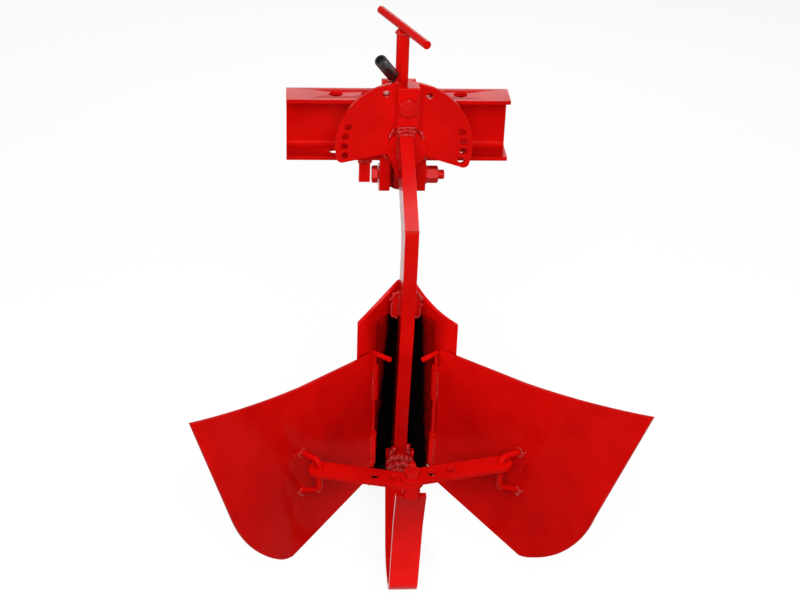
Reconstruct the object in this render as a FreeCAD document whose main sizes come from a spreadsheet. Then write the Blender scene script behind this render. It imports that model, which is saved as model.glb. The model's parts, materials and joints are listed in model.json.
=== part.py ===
import FreeCAD, Part
import math
import os
import Sketcher

# Ridging body for a two-wheel tractor: a bolted toolbar channel, a pitching
# yoke with its tee screw, a swivelling half-moon sector with a gooseneck
# shank, and two wings hinged behind a fixed breast.
# Frame: X right seen from behind, Y forward, Z up. The origin lies on the top
# face of the toolbar, midway between its two outer bolt holes.
# Names ending in _y and _z are measured from the swivel hub's centre.

SIZES = {
    "toolbar channel": {
        "bar_length": 274, "bar_height": 80, "bar_depth": 43, "bar_wall": 5,
        "bar_corner": 5, "outer_bolts": 153, "inner_bolts": 75,
        "bar_hole_radius": 8.25, "bolt_setback": 19.5},
    "swivel hub": {
        "hub_offset": 4.9, "hub_setback": 40, "hub_drop": 44,
        "hub_pin_radius": 12, "running_gap": 0.05, "face_gap": 0.3,
        "ring_radius": 23.5, "ring_depth": 8, "ring_shift": 3},
    "pitch pivot": {
        "pivot_y": 42, "pivot_z": -55.6, "pivot_bolt_radius": 6,
        "pivot_eye_radius": 14, "clevis_gap": 31, "clevis_centre": 0.5,
        "clevis_play": 0.5, "cheek_thick": 13, "cheek_depth": 15,
        "cheek_low_z": -72, "cheek_corner_z": -64.7,
        "bolt_flats": 19, "bolt_head_depth": 8,
        "washer_radius": 12, "washer_thick": 3.5, "nut_depth": 14,
        "thread_overhang": 8, "tongue_length": 24, "tongue_rear": 9,
        "yoke_thick": 6, "yoke_gap": 1, "yoke_top_z": 62,
        "yoke_shoulder_z": 4, "yoke_toe_z": -48, "yoke_toe_half": 3.5,
        "yoke_toe_shift": 1.5},
    "side lug": {
        "lug_centre_x": -45, "lug_thick": 14, "lug_depth": 11,
        "lug_drop": 30},
    "mouth plate": {
        "mouth_half": 59.8, "mouth_thick": 5, "mouth_inset": 1},
    "tee screw": {
        "stem_radius": 7.8, "stem_x": -4.2, "stem_y": 20.8,
        "stem_top_z": 140.5, "stem_low_z": -62, "tee_radius": 5,
        "tee_length": 129, "tee_height_z": 144.3, "tee_yaw": -68.7,
        "bridge_low_z": 38, "bridge_top_z": 77, "bridge_right_x": 13.2,
        "bridge_depth": 16},
    "plunger": {
        "plunger_radius": 4, "plunger_front_y": 31, "lever_radius": 2.6,
        "lever_height_z": 88, "lever_x": -15.4, "lever_y": 9.5,
        "grip_radius": 7.4, "grip_length": 37, "grip_yaw": -131.8,
        "grip_tilt": 43.8},
    "sector plate": {
        "sector_radius": 83, "sector_thick": 6, "sector_turn": 2.3,
        "pitch_radius": 72, "sector_hole_radius": 4.25, "top_hole_angle": 21,
        "side_hole_angle": 72, "side_hole_step": 10, "lobe_angle": 108.2,
        "lobe_round": 7, "waist_x": 22, "waist_z": -10.2, "chin_x": 12,
        "chin_z": -18},
    "arm block": {
        "block_centre_x": 2.2, "block_width": 27, "block_low_z": 31.6,
        "block_top_z": 84, "block_depth": 21, "clamp_x": 1.9,
        "clamp_z": 61.5, "clamp_radius": 6, "clamp_head_flats": 20.5,
        "clamp_head_depth": 8.5},
    "shank": {
        "shank_thick": 16, "shank_depth": 50, "arm_slope": 24.5,
        "arm_top_z": 40.8, "knee_y": -166, "knee_radius": 3,
        "throat_radius": 24, "arm_drop": 56,
        "knee_low_y": -164, "knee_low_z": -79, "calf_y": -152,
        "calf_z": -166, "shin_y": -128, "shin_z": -280,
        "foot_y": -114, "foot_z": -367},
    "breast": {
        "breast_thick": 4, "breast_top_z": -124, "breast_low_z": -398,
        "prow_top_y": -94, "prow_low_y": -43, "breast_rear_x": 59,
        "breast_rear_y": -157, "brow_z": -129, "brow_y": -99,
        "brow_rear_z": -158, "brow_left_radius": 300,
        "brow_right_radius": 60, "breast_sill_z": -384,
        "gusset_thick": 5, "gusset_reach": 17, "gusset_top_z": -137,
        "gusset_low_z": -166, "gusset_y": -114},
    "frog and share": {
        "frog_thick": 6, "frog_rear_x": 33.5, "frog_top_z": -168,
        "frog_low_z": -397, "weld_gap": 0.2, "share_thick": 5,
        "trim_margin": 21,
        "tip_y": 46, "ground_z": -503, "sole_half": 32, "sole_y": 7,
        "share_rear_x": 44, "share_rear_y": -112},
    "heel": {
        "heel_width": 35, "heel_thick": 7, "heel_top_y": -113,
        "heel_bend_y": -121, "heel_bend_z": -421,
        "heel_front_y": -161.2, "heel_front_radius": 36,
        "heel_rear_y": -229, "heel_rear_radius": 33, "heel_leg_y": -261.5,
        "heel_leg_z": -362, "heel_end_y": -291, "heel_end_z": -290},
    "wings": {
        "hinge_x": 37.5, "hinge_y": -142, "wing_flare": 39.5,
        "wing_thick": 4, "wing_root": 6, "wing_root_z": -198,
        "wing_rise_reach": 140, "wing_rise_z": -179, "wing_reach": 318.5,
        "wing_tip_z": -133, "wing_crest_radius": 1300,
        "wing_toe_reach": 257, "wing_toe_z": -300,
        "wing_turn_reach": 176, "wing_turn_z": -403,
        "wing_turn_radius": 175, "wing_low_reach": 155,
        "wing_low_z": -410, "wing_low_radius": 60, "wing_heel_z": -380,
        "wing_left_sag": 3.5, "wing_left_drop": 1.5,
        "wing_left_turn_radius": 226,
        "wing_right_rise": 1, "wing_right_drop": 4.5,
        "wing_right_spread": 2},
    "wing hinges": {
        "barrel_radius": 5.8, "barrel_top_z": -226, "barrel_low_z": -268,
        "low_barrel_radius": 5, "low_barrel_top_z": -322,
        "low_barrel_low_z": -362, "hinge_pin_radius": 3,
        "hinge_pin_top_z": -204, "hinge_pin_low_z": -368, "lug_plate": 4,
        "lug_play": 0.5, "handle_length": 24, "handle_yaw": -140,
        "hinge_lug_radius": 5.5},
    "staples": {
        "staple_radius": 3.75, "staple_reach": 138, "staple_stand": 27,
        "staple_play": 3.5, "staple_root_rise": 0.5,
        "staple_low_z": -312, "staple_wing_low_z": -326,
        "staple_bend": 7, "staple_foot": 1,
        "staple_right_skew": 12, "staple_right_lift": 1.8},
    "straps": {
        "strap_width": 26, "strap_thick": 5.5, "strap_seat_z": -286.9,
        "strap_gap": 0.4, "strap_hole_radius": 5.5, "strap_hole_pitch": 21.5,
        "strap_right_pitch": 23.3,
        "strap_eye_play": 0.5, "centre_y": -291, "boss_radius": 10,
        "boss_depth": 16, "centre_nut_flats": 17, "centre_nut_depth": 8,
        "centre_thread_radius": 4, "centre_thread_top": 9},
}


class Size:
    """A number together with the spreadsheet formula that gives it."""

    def __init__(self, value, text=None):
        self.value = float(value)
        self.text = text if text is not None else repr(float(value))

    def join(self, other, sign, value):
        return Size(value, "(%s %s %s)" % (self.text, sign, other.text))

    def __add__(self, other):
        other = size(other)
        return self.join(other, "+", self.value + other.value)

    def __radd__(self, other):
        return size(other) + self

    def __sub__(self, other):
        other = size(other)
        return self.join(other, "-", self.value - other.value)

    def __rsub__(self, other):
        return size(other) - self

    def __mul__(self, other):
        other = size(other)
        return self.join(other, "*", self.value * other.value)

    def __rmul__(self, other):
        return size(other) * self

    def __truediv__(self, other):
        other = size(other)
        return self.join(other, "/", self.value / other.value)

    def __neg__(self):
        return size(0) - self


def size(number):
    return number if isinstance(number, Size) else Size(number)


def sine(angle):
    return Size(math.sin(math.radians(angle.value)), "sin(%s)" % angle.text)


def cosine(angle):
    return Size(math.cos(math.radians(angle.value)), "cos(%s)" % angle.text)


def root(number):
    return Size(math.sqrt(number.value), "sqrt(%s)" % number.text)


def length_of(dx, dy):
    return root(dx * dx + dy * dy)


def turn_of(rise, run):
    """Angle in degrees whose tangent is rise over run."""
    return Size(math.degrees(math.atan2(rise.value, run.value)),
                "(atan2(%s; %s) / 1 deg)" % (rise.text, run.text))


def make_sheet(doc):
    """Fill the spreadsheet and return its cells as Size values."""
    sheet = doc.addObject("Spreadsheet::Sheet", "Dims")
    cells = {}
    row = 1
    for group in SIZES:
        sheet.set("A%d" % row, group)
        row += 1
        for name, value in SIZES[group].items():
            sheet.set("A%d" % row, name)
            sheet.set("B%d" % row, str(value))
            sheet.setAlias("B%d" % row, name)
            cells[name] = Size(value, "Dims." + name)
            row += 1
    doc.recompute()
    return cells


class Cells:
    """The named sizes, read as attributes."""

    def __init__(self, cells):
        self.__dict__.update(cells)


doc = FreeCAD.newDocument("Ridger")
D = Cells(make_sheet(doc))

HUB = (D.hub_offset, -(D.bolt_setback + D.hub_setback), -D.hub_drop)
PIECES = []


def bind(item, name, number):
    item.setExpression(name, size(number).text)


def place(item, x, y, z, yaw=0, pitch=0, roll=0):
    """Stand an object at a point of the hub frame, turned by three angles."""
    spot = [size(value) + base for value, base in zip((x, y, z), HUB)]
    turns = [size(angle) for angle in (yaw, pitch, roll)]
    vector = "create(<<vector>>; %s)" % "; ".join(v.text for v in spot)
    turned = "create(<<rotation>>; %s)" % "; ".join(a.text for a in turns)
    item.setExpression(
        "Placement", "create(<<placement>>; %s; %s)" % (vector, turned))


def piece(item, name):
    """Register a finished sub-part under its node name."""
    item.Label = name
    PIECES.append(item)
    return item


# ---------------------------------------------------------------- sketches

def start_body(name):
    body = doc.addObject("PartDesign::Body", name + "_body")
    return body


def origin_plane(body, role):
    for feature in body.Origin.OriginFeatures:
        if feature.Role == role:
            return feature


def add_sketch(body, name, role, offset=None):
    sketch = body.newObject("Sketcher::SketchObject", name)
    sketch.AttachmentSupport = [(origin_plane(body, role), "")]
    sketch.MapMode = "FlatFace"
    if offset is not None:
        bind(sketch, "AttachmentOffset.Base.z", offset)
    return sketch


def pin_point(sketch, curve, end, x, y):
    """Hold one end of a curve at bound coordinates."""
    for kind, number in (("DistanceX", x), ("DistanceY", y)):
        row = sketch.addConstraint(
            Sketcher.Constraint(kind, -1, 1, curve, end, number.value))
        sketch.setExpression("Constraints[%d]" % row, number.text)


def arc_through(start, end, radius):
    """The shorter arc between two points; a positive radius turns left."""
    chord = end - start
    middle = (start + end) * 0.5
    left = FreeCAD.Vector(-chord.y, chord.x, 0)
    left.normalize()
    rise = math.sqrt(max(radius ** 2 - (chord.Length / 2) ** 2, 0))
    centre = middle + left * math.copysign(rise, radius)
    first, last = (start, end) if radius > 0 else (end, start)
    angles = [math.atan2(p.y - centre.y, p.x - centre.x) for p in (first, last)]
    circle = Part.Circle(centre, FreeCAD.Vector(0, 0, 1), abs(radius))
    return Part.ArcOfCircle(circle, angles[0], angles[1])


def draw_path(sketch, corners, closed=True):
    """Draw lines and arcs from corner to corner.

    A corner is (x, y), reached by a line, or (x, y, radius), reached by an
    arc that turns left when its radius is positive.
    """
    spots = [FreeCAD.Vector(size(c[0]).value, size(c[1]).value, 0)
             for c in corners]
    count = len(corners)
    spans = range(count) if closed else range(count - 1)
    ends = []
    for index in spans:
        target = (index + 1) % count
        corner = corners[target]
        if len(corner) == 3:
            radius = size(corner[2])
            arc = arc_through(spots[index], spots[target], radius.value)
            curve = sketch.addGeometry(arc)
            ends.append((curve, 1, 2) if radius.value > 0 else (curve, 2, 1))
            row = sketch.addConstraint(
                Sketcher.Constraint("Radius", curve, abs(radius.value)))
            sketch.setExpression("Constraints[%d]" % row,
                                 "abs(%s)" % radius.text)
        else:
            line = Part.LineSegment(spots[index], spots[target])
            curve = sketch.addGeometry(line)
            ends.append((curve, 1, 2))
    for before, after in zip(ends, ends[1:] + (ends[:1] if closed else [])):
        sketch.addConstraint(Sketcher.Constraint(
            "Coincident", before[0], before[2], after[0], after[1]))
    for index, (curve, begin, _) in enumerate(ends):
        pin_point(sketch, curve, begin, size(corners[index][0]),
                  size(corners[index][1]))
    if not closed:
        curve, _, finish = ends[-1]
        pin_point(sketch, curve, finish, size(corners[-1][0]),
                  size(corners[-1][1]))


def rounded(before, corner, after, radius):
    """The two ends of a round corner, the second one reached by its arc."""
    back = (before[0] - corner[0], before[1] - corner[1])
    ahead = (after[0] - corner[0], after[1] - corner[1])
    back_length = length_of(*back)
    ahead_length = length_of(*ahead)
    lean = ((back[0] * ahead[0] + back[1] * ahead[1])
            / (back_length * ahead_length))
    setback = radius * root((1 + lean) / (1 - lean))
    turn = back[0].value * ahead[1].value - back[1].value * ahead[0].value
    first = [c + d * setback / back_length for c, d in zip(corner, back)]
    last = [c + d * setback / ahead_length for c, d in zip(corner, ahead)]
    return tuple(first), (*last, -radius if turn > 0 else radius)


def draw_circle(sketch, x, y, radius):
    x, y, radius = size(x), size(y), size(radius)
    centre = FreeCAD.Vector(x.value, y.value, 0)
    circle = Part.Circle(centre, FreeCAD.Vector(0, 0, 1), radius.value)
    curve = sketch.addGeometry(circle)
    pin_point(sketch, curve, 3, x, y)
    row = sketch.addConstraint(
        Sketcher.Constraint("Radius", curve, radius.value))
    sketch.setExpression("Constraints[%d]" % row, radius.text)


def add_pad(body, sketch, length, side="One side", reverse=False):
    pad = body.newObject("PartDesign::Pad", sketch.Name + "_pad")
    pad.Profile = sketch
    pad.SideType = side
    pad.Reversed = reverse
    bind(pad, "Length", length)
    return pad


def add_cut(body, sketch):
    """Cut a sketch through the body on both sides of its plane."""
    cut = body.newObject("PartDesign::Pocket", sketch.Name + "_cut")
    cut.Profile = sketch
    cut.SideType = "Symmetric"
    cut.Type = "ThroughAll"
    return cut


def edges_at(item, spots, axis):
    """Names of straight edges along an axis that pass a point of the plane."""
    names = []
    across = [i for i in range(3) if i != axis]
    for number, edge in enumerate(item.Shape.Edges, 1):
        if edge.Curve.TypeId != "Part::GeomLine":
            continue
        if abs(edge.tangentAt(edge.FirstParameter)[axis]) < 0.999:
            continue
        point = edge.Vertexes[0].Point
        for spot in spots:
            gap = [abs(point[i] - s.value) for i, s in zip(across, spot)]
            if max(gap) < 0.01:
                names.append("Edge%d" % number)
    return names


def add_fillet(body, base, spots, axis, radius):
    """Round the edges of a body that run along an axis at given points."""
    doc.recompute()
    fillet = body.newObject("PartDesign::Fillet", base.Name + "_round")
    fillet.Base = (base, edges_at(base, spots, axis))
    bind(fillet, "Radius", radius)
    return fillet


# -------------------------------------------------------------- primitives

def block(name, low, high):
    """A box between two corners of the hub frame."""
    box = doc.addObject("Part::Box", name)
    low = [size(value) for value in low]
    high = [size(value) for value in high]
    for side, start, end in zip(("Length", "Width", "Height"), low, high):
        bind(box, side, end - start)
    place(box, *low)
    return box


def rod(name, start, radius, length, yaw=0, tilt=0):
    """A round bar from a point, tilted off the vertical towards a yaw."""
    bar = doc.addObject("Part::Cylinder", name)
    bind(bar, "Radius", radius)
    bind(bar, "Height", length)
    place(bar, *start, yaw=yaw, pitch=tilt)
    return bar


def hexagon(name, start, flats, length, yaw=0, tilt=0, roll=0):
    """A hexagon bar from a point, given by its size across flats."""
    bar = doc.addObject("Part::Prism", name)
    bar.Polygon = 6
    bind(bar, "Circumradius", size(flats) / (2 * cosine(size(30))))
    bind(bar, "Height", length)
    place(bar, *start, yaw=yaw, pitch=tilt, roll=roll)
    return bar


def ball(name, spot, radius):
    knob = doc.addObject("Part::Sphere", name)
    bind(knob, "Radius", radius)
    place(knob, *spot)
    return knob


def cut(name, base, tool):
    result = doc.addObject("Part::Cut", name)
    result.Base = base
    result.Tool = tool
    return result


def fuse(name, *shapes):
    result = doc.addObject("Part::MultiFuse", name)
    result.Shapes = list(shapes)
    return result


# ---------------------------------------------------- places shared by pieces

CLEVIS_LEFT = D.clevis_centre - D.clevis_gap / 2
CLEVIS_RIGHT = D.clevis_centre + D.clevis_gap / 2
BAR_REAR = D.hub_setback
BAR_BASE = D.hub_drop - D.bar_height
SECTOR_FRONT = D.sector_thick
YOKE_REAR = SECTOR_FRONT + D.yoke_gap
CHEEK_REAR = YOKE_REAR + D.yoke_thick
STRAP_TOP_Z = D.strap_seat_z + 2 * D.strap_thick + D.strap_gap
STAPLE_TOP_Z = STRAP_TOP_Z + D.staple_play
STAPLE_ROOT_Z = STAPLE_TOP_Z + D.staple_root_rise
BOSS_LOW_Z = D.strap_seat_z - D.face_gap - D.boss_depth

# ------------------------------------------------------------- hitch pieces


def toolbar_channel():
    body = start_body("toolbar")
    rear, front = -D.bolt_setback, D.bar_depth - D.bolt_setback
    inner = front - D.bar_wall
    base, top = -D.bar_height, size(0)
    profile = add_sketch(body, "channel_profile", "YZ_Plane")
    draw_path(profile, [
        (rear, base), (front, base), (front, top), (rear, top),
        (rear, top - D.bar_wall), (inner, top - D.bar_wall),
        (inner, base + D.bar_wall), (rear, base + D.bar_wall)])
    pad = add_pad(body, profile, D.bar_length, "Symmetric")
    add_fillet(body, pad, [(front, base), (front, top)], 0, D.bar_corner)
    holes = add_sketch(body, "channel_holes", "XY_Plane")
    for spacing in (D.outer_bolts, D.inner_bolts):
        for side in (-1, 1):
            draw_circle(holes, side * spacing / 2, 0, D.bar_hole_radius)
    add_cut(body, holes)
    return piece(body, "toolbar_channel")


def hitch_tongue():
    body = start_body("tongue")
    rear = D.pivot_y - D.tongue_rear
    front = rear + D.tongue_length
    profile = add_sketch(body, "tongue_profile", "YZ_Plane")
    low = D.pivot_z - D.pivot_eye_radius
    draw_path(profile, [
        (rear, low), (front, low), (front, BAR_BASE), (rear, BAR_BASE)])
    draw_circle(profile, D.pivot_y, D.pivot_z,
                D.pivot_bolt_radius + D.running_gap)
    add_pad(body, profile, D.clevis_gap - 2 * D.clevis_play, "Symmetric")
    place(body, D.clevis_centre, 0, 0)
    return piece(body, "hitch_tongue")


def side_lug():
    left = D.lug_centre_x - D.lug_thick / 2
    lug = block("lug_block", (left, BAR_REAR, BAR_BASE - D.lug_drop),
                (left + D.lug_thick, BAR_REAR + D.lug_depth, BAR_BASE))
    return piece(lug, "side_lug")


def mouth_plate():
    """Plate welded between the flanges, across the channel's open side."""
    centre = -D.hub_offset
    near = BAR_REAR + D.mouth_inset
    plate = block("mouth_block",
                  (centre - D.mouth_half, near, BAR_BASE + D.bar_wall),
                  (centre + D.mouth_half, near + D.mouth_thick,
                   BAR_BASE + D.bar_height - D.bar_wall))
    return piece(plate, "mouth_plate")


def pitch_bolt():
    y, z = D.pivot_y, D.pivot_z
    head_face = CLEVIS_LEFT - D.cheek_thick - D.face_gap
    washer_face = CLEVIS_RIGHT + D.cheek_thick + D.face_gap
    nut_face = washer_face + D.washer_thick
    end = nut_face + D.nut_depth + D.thread_overhang
    head = hexagon("pitch_head", (head_face - D.bolt_head_depth, y, z),
                   D.bolt_flats, D.bolt_head_depth, 0, 90)
    stem = rod("pitch_stem", (head_face, y, z), D.pivot_bolt_radius,
               end - head_face, 0, 90)
    piece(fuse("pitch_bolt_solid", head, stem), "pitch_bolt")
    nut = hexagon("pitch_nut_blank", (nut_face, y, z), D.bolt_flats,
                  D.nut_depth, 0, 90)
    washer = rod("pitch_washer", (washer_face, y, z), D.washer_radius,
                 D.washer_thick, 0, 90)
    bore = rod("pitch_nut_bore", (washer_face, y, z),
               D.pivot_bolt_radius, D.washer_thick + D.nut_depth, 0, 90)
    piece(cut("pitch_nut_solid", fuse("pitch_nut_stack", nut, washer), bore),
          "pitch_nut")


# -------------------------------------------------------------- yoke pieces

def cheek(side, inner_x):
    """One side plate of the yoke, with its eye round the pitch bolt."""
    body = start_body("cheek_" + side)
    rear, front = CHEEK_REAR, CHEEK_REAR + D.cheek_depth
    low, eye = D.cheek_low_z, D.pivot_eye_radius
    profile = add_sketch(body, "cheek_profile_" + side, "YZ_Plane")
    draw_path(profile, [
        (rear, D.bridge_low_z), (rear, D.cheek_corner_z), (front, low),
        (D.pivot_y, low), (D.pivot_y + eye, low + eye, eye),
        (D.pivot_y + eye, D.pivot_z), (D.pivot_y, D.pivot_z + eye, eye),
        (front, D.pivot_z + eye), (front, D.bridge_low_z)])
    draw_circle(profile, D.pivot_y, D.pivot_z,
                D.pivot_bolt_radius + D.running_gap)
    add_pad(body, profile, D.cheek_thick, "One side", side == "left")
    place(body, inner_x, 0, 0)
    return piece(body, "cheek_" + side)


def plunger_spot():
    """Centre of the sector hole in front of the plunger, as (x, z)."""
    angle = D.sector_turn - D.top_hole_angle
    return D.pitch_radius * sine(angle), D.pitch_radius * cosine(angle)


def yoke_plate():
    body = start_body("yoke_plate")
    left = CLEVIS_LEFT - D.cheek_thick
    right = CLEVIS_RIGHT + D.cheek_thick
    middle = D.clevis_centre - D.yoke_toe_shift
    profile = add_sketch(body, "yoke_profile", "XZ_Plane")
    draw_path(profile, [
        (left, D.yoke_top_z), (left, D.yoke_shoulder_z),
        (middle - D.yoke_toe_half, D.yoke_toe_z),
        (middle + D.yoke_toe_half, D.yoke_toe_z),
        (right, D.yoke_shoulder_z), (right, D.yoke_top_z)])
    add_pad(body, profile, D.yoke_thick, "One side", True)
    place(body, 0, YOKE_REAR, 0)
    return piece(body, "yoke_plate")


def hub_pin():
    return piece(rod("hub_pin_solid", (0, YOKE_REAR, 0), D.hub_pin_radius,
                     YOKE_REAR + D.ring_depth - D.face_gap, 90, -90),
                 "hub_pin")


def screw_bridge():
    """The block on the cheeks that takes the tee screw and the plunger."""
    body = start_body("bridge")
    left = CLEVIS_LEFT - D.cheek_thick
    profile = add_sketch(body, "bridge_profile", "XZ_Plane")
    draw_path(profile, [
        (left, D.bridge_low_z), (D.bridge_right_x, D.bridge_low_z),
        (D.bridge_right_x, D.bridge_top_z), (left, D.bridge_top_z)])
    plunger_x, plunger_z = plunger_spot()
    draw_circle(profile, plunger_x, plunger_z,
                D.plunger_radius + D.running_gap)
    add_pad(body, profile, D.bridge_depth, "One side", True)
    bore = add_sketch(body, "screw_bore", "XY_Plane")
    draw_circle(bore, D.stem_x, D.stem_y - CHEEK_REAR,
                D.stem_radius + D.running_gap)
    add_cut(body, bore)
    place(body, 0, CHEEK_REAR, 0)
    return piece(body, "screw_bridge")


def tee_screw():
    length = D.stem_top_z - D.stem_low_z
    stem = rod("stem_blank", (D.stem_x, D.stem_y, D.stem_low_z),
               D.stem_radius, length)
    half = D.tee_length / 2
    start = (D.stem_x - half * cosine(D.tee_yaw),
             D.stem_y - half * sine(D.tee_yaw), D.tee_height_z)
    hole = rod("stem_hole", start, D.tee_radius, D.tee_length,
               D.tee_yaw, 90)
    bar = rod("tee_bar_rod", start, D.tee_radius, D.tee_length,
              D.tee_yaw, 90)
    piece(cut("stem_solid", stem, hole), "tee_screw")
    piece(bar, "tee_bar")


def plunger():
    """Locking pin, drawn clear of the sector, with its lever and grip."""
    x, z = plunger_spot()
    tip_y = SECTOR_FRONT + D.face_gap
    pin = piece(rod("plunger_rod", (x, tip_y, z), D.plunger_radius,
                    D.plunger_front_y - tip_y, 90, 90), "plunger_pin")
    knee = (D.lever_x, D.lever_y, z)
    grip_low = (D.lever_x, D.lever_y, D.lever_height_z)
    grip = piece(rod("grip_rod", grip_low, D.grip_radius, D.grip_length,
                     D.grip_yaw, D.grip_tilt), "lever_grip")
    across = rod("lever_across", (x, D.lever_y, z), D.lever_radius,
                 D.lever_x - x, 0, 90)
    upright = rod("lever_upright", knee, D.lever_radius,
                  D.lever_height_z - z)
    lever = fuse("lever_rods", across, upright,
                 ball("lever_knee", knee, D.lever_radius),
                 ball("lever_top", grip_low, D.lever_radius))
    lever = cut("lever_below_grip", lever, grip)
    piece(cut("lever_solid", lever, pin), "plunger_lever")


# ------------------------------------------------------------ swivel pieces

def sector_plate():
    body = start_body("sector")
    profile = add_sketch(body, "sector_profile", "XZ_Plane")
    radius = D.sector_radius
    lobe_x = radius * sine(D.lobe_angle)
    lobe_z = radius * cosine(D.lobe_angle)
    draw_path(profile, [
        (lobe_x, lobe_z), (0, radius, radius), (-lobe_x, lobe_z, radius),
        (-D.waist_x, D.waist_z), (-D.chin_x, D.chin_z),
        (D.chin_x, D.chin_z), (D.waist_x, D.waist_z)])
    draw_circle(profile, 0, 0, D.hub_pin_radius + D.running_gap)
    angles = [-D.top_hole_angle, D.top_hole_angle]
    for side in (-1, 1):
        for step in range(4):
            angles.append(
                side * (D.side_hole_angle + step * D.side_hole_step))
    for angle in angles:
        draw_circle(profile, D.pitch_radius * sine(angle),
                    D.pitch_radius * cosine(angle), D.sector_hole_radius)
    clamp_angle = -D.sector_turn
    clamp_x = D.clamp_x * cosine(clamp_angle) + D.clamp_z * sine(clamp_angle)
    clamp_z = D.clamp_z * cosine(clamp_angle) - D.clamp_x * sine(clamp_angle)
    draw_circle(profile, clamp_x, clamp_z, D.clamp_radius)
    pad = add_pad(body, profile, D.sector_thick, "One side", True)
    add_fillet(body, pad, [(lobe_x, lobe_z), (-lobe_x, lobe_z)], 1,
               D.lobe_round)
    place(body, 0, 0, 0, pitch=D.sector_turn)
    return piece(body, "sector_plate")


def arm_block(bar):
    """Block that straddles the top of the shank against the sector."""
    half = D.block_width / 2
    blank = block("arm_blank",
                  (D.block_centre_x - half, -D.block_depth, D.block_low_z),
                  (D.block_centre_x + half, size(0), D.block_top_z))
    bore = rod("arm_bore", (D.clamp_x, -D.block_depth, D.clamp_z),
               D.clamp_radius, D.block_depth, 90, 90)
    bored = cut("arm_bored", blank, bore)
    piece(cut("arm_solid", bored, bar), "arm_block")
    head = hexagon("clamp_head",
                   (D.clamp_x, -D.block_depth - D.clamp_head_depth,
                    D.clamp_z),
                   D.clamp_head_flats, D.clamp_head_depth, roll=-90)
    stem = rod("clamp_stem", (D.clamp_x, -D.block_depth, D.clamp_z),
               D.clamp_radius, D.block_depth + D.sector_thick, 90, 90)
    piece(fuse("clamp_solid", head, stem), "clamp_bolt")


def hub_ring():
    blank = rod("ring_blank", (D.ring_shift, -D.ring_depth, 0),
                D.ring_radius, D.ring_depth, 90, 90)
    bore = rod("ring_bore", (0, -D.ring_depth, 0),
               D.hub_pin_radius + D.running_gap, D.ring_depth, 90, 90)
    return piece(cut("ring_solid", blank, bore), "hub_ring")


def arm_height(y):
    """Height of the shank's top edge at a distance behind the sector."""
    slope = sine(D.arm_slope) / cosine(D.arm_slope)
    return D.arm_top_z + (y + D.ring_depth) * slope


def shank():
    body = start_body("shank")
    root_y = -D.ring_depth
    knee_z = arm_height(D.knee_y)
    throat_y = D.knee_low_y + D.shank_depth
    profile = add_sketch(body, "shank_profile", "YZ_Plane")
    draw_path(profile, [
        (root_y, D.arm_top_z), (D.knee_y, knee_z),
        (D.knee_low_y, D.knee_low_z),
        (D.calf_y, D.calf_z), (D.shin_y, D.shin_z), (D.foot_y, D.foot_z),
        (D.foot_y + D.shank_depth, D.foot_z),
        (D.shin_y + D.shank_depth, D.shin_z),
        (D.calf_y + D.shank_depth, D.calf_z),
        (throat_y, arm_height(throat_y) - D.arm_drop),
        (root_y, D.arm_top_z - D.arm_drop)])
    pad = add_pad(body, profile, D.shank_thick, "Symmetric")
    knee = add_fillet(body, pad, [(D.knee_y, knee_z)], 0, D.knee_radius)
    add_fillet(body, knee,
               [(throat_y, arm_height(throat_y) - D.arm_drop)], 0,
               D.throat_radius)
    place(body, 0, 0, 0)
    return piece(body, "shank")


def prow_y(z):
    """Y of the breast's inner faces where they meet in the middle."""
    share = (z - D.breast_top_z) / (D.breast_low_z - D.breast_top_z)
    return D.prow_top_y + (D.prow_low_y - D.prow_top_y) * share


def breast_line(z, x, rise=0):
    """Y of the breast's inner face, or of a face that rises outside it."""
    run_x = D.breast_rear_x
    run_y = D.breast_rear_y - prow_y(z)
    skew = length_of(run_x, run_y) / run_x
    return prow_y(z) + run_y * x / run_x + rise * skew


def side_panel(name, side, z_top, z_low, start_x, end_x, outer, inner):
    """A plate lofted between two level sections beside the breast's face."""
    body = start_body(name)
    sections = []
    for label, z in (("top", z_top), ("low", z_low)):
        sketch = add_sketch(body, "%s_%s" % (name, label), "XY_Plane", z)
        corners = [(start_x, breast_line(z, start_x, outer)),
                   (end_x, breast_line(z, end_x, outer)),
                   (end_x, breast_line(z, end_x, inner)),
                   (start_x, breast_line(z, start_x, inner))]
        draw_path(sketch, [(side * x, y) for x, y in corners])
        sections.append(sketch)
    loft = body.newObject("PartDesign::AdditiveLoft", name + "_loft")
    loft.Profile = sections[0]
    loft.Sections = sections[1:]
    loft.Ruled = True
    return body


def breast(side, word, brow_radius):
    body = side_panel("breast_" + word, side, D.breast_top_z,
                      D.breast_low_z, D.weld_gap, D.breast_rear_x,
                      D.breast_thick, 0)
    margin = D.trim_margin
    front = D.prow_low_y + margin
    rear = D.breast_rear_y - margin
    trims = add_sketch(body, "brow_" + word, "YZ_Plane")
    draw_path(trims, [
        (front, D.brow_z), (D.brow_y, D.brow_z),
        (D.breast_rear_y, D.brow_rear_z, -brow_radius),
        (rear, D.brow_rear_z), (rear, D.breast_top_z + margin),
        (front, D.breast_top_z + margin)])
    add_cut(body, trims)
    sill = add_sketch(body, "sill_" + word, "YZ_Plane")
    draw_path(sill, [
        (D.prow_low_y, D.breast_low_z), (D.breast_rear_y, D.breast_sill_z),
        (rear, D.breast_sill_z), (rear, D.breast_low_z - margin),
        (D.prow_low_y, D.breast_low_z - margin)])
    add_cut(body, sill)
    place(body, 0, 0, 0)
    return piece(body, "breast_" + word)


def frog(side, word):
    """Black inner cheek of the breast, welded along the shank."""
    start = D.shank_thick / 2 + D.weld_gap
    body = side_panel("frog_" + word, side, D.frog_top_z, D.frog_low_z,
                      start, D.frog_rear_x, -D.weld_gap,
                      -D.weld_gap - D.frog_thick)
    place(body, 0, 0, 0)
    return piece(body, "frog_" + word)


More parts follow.
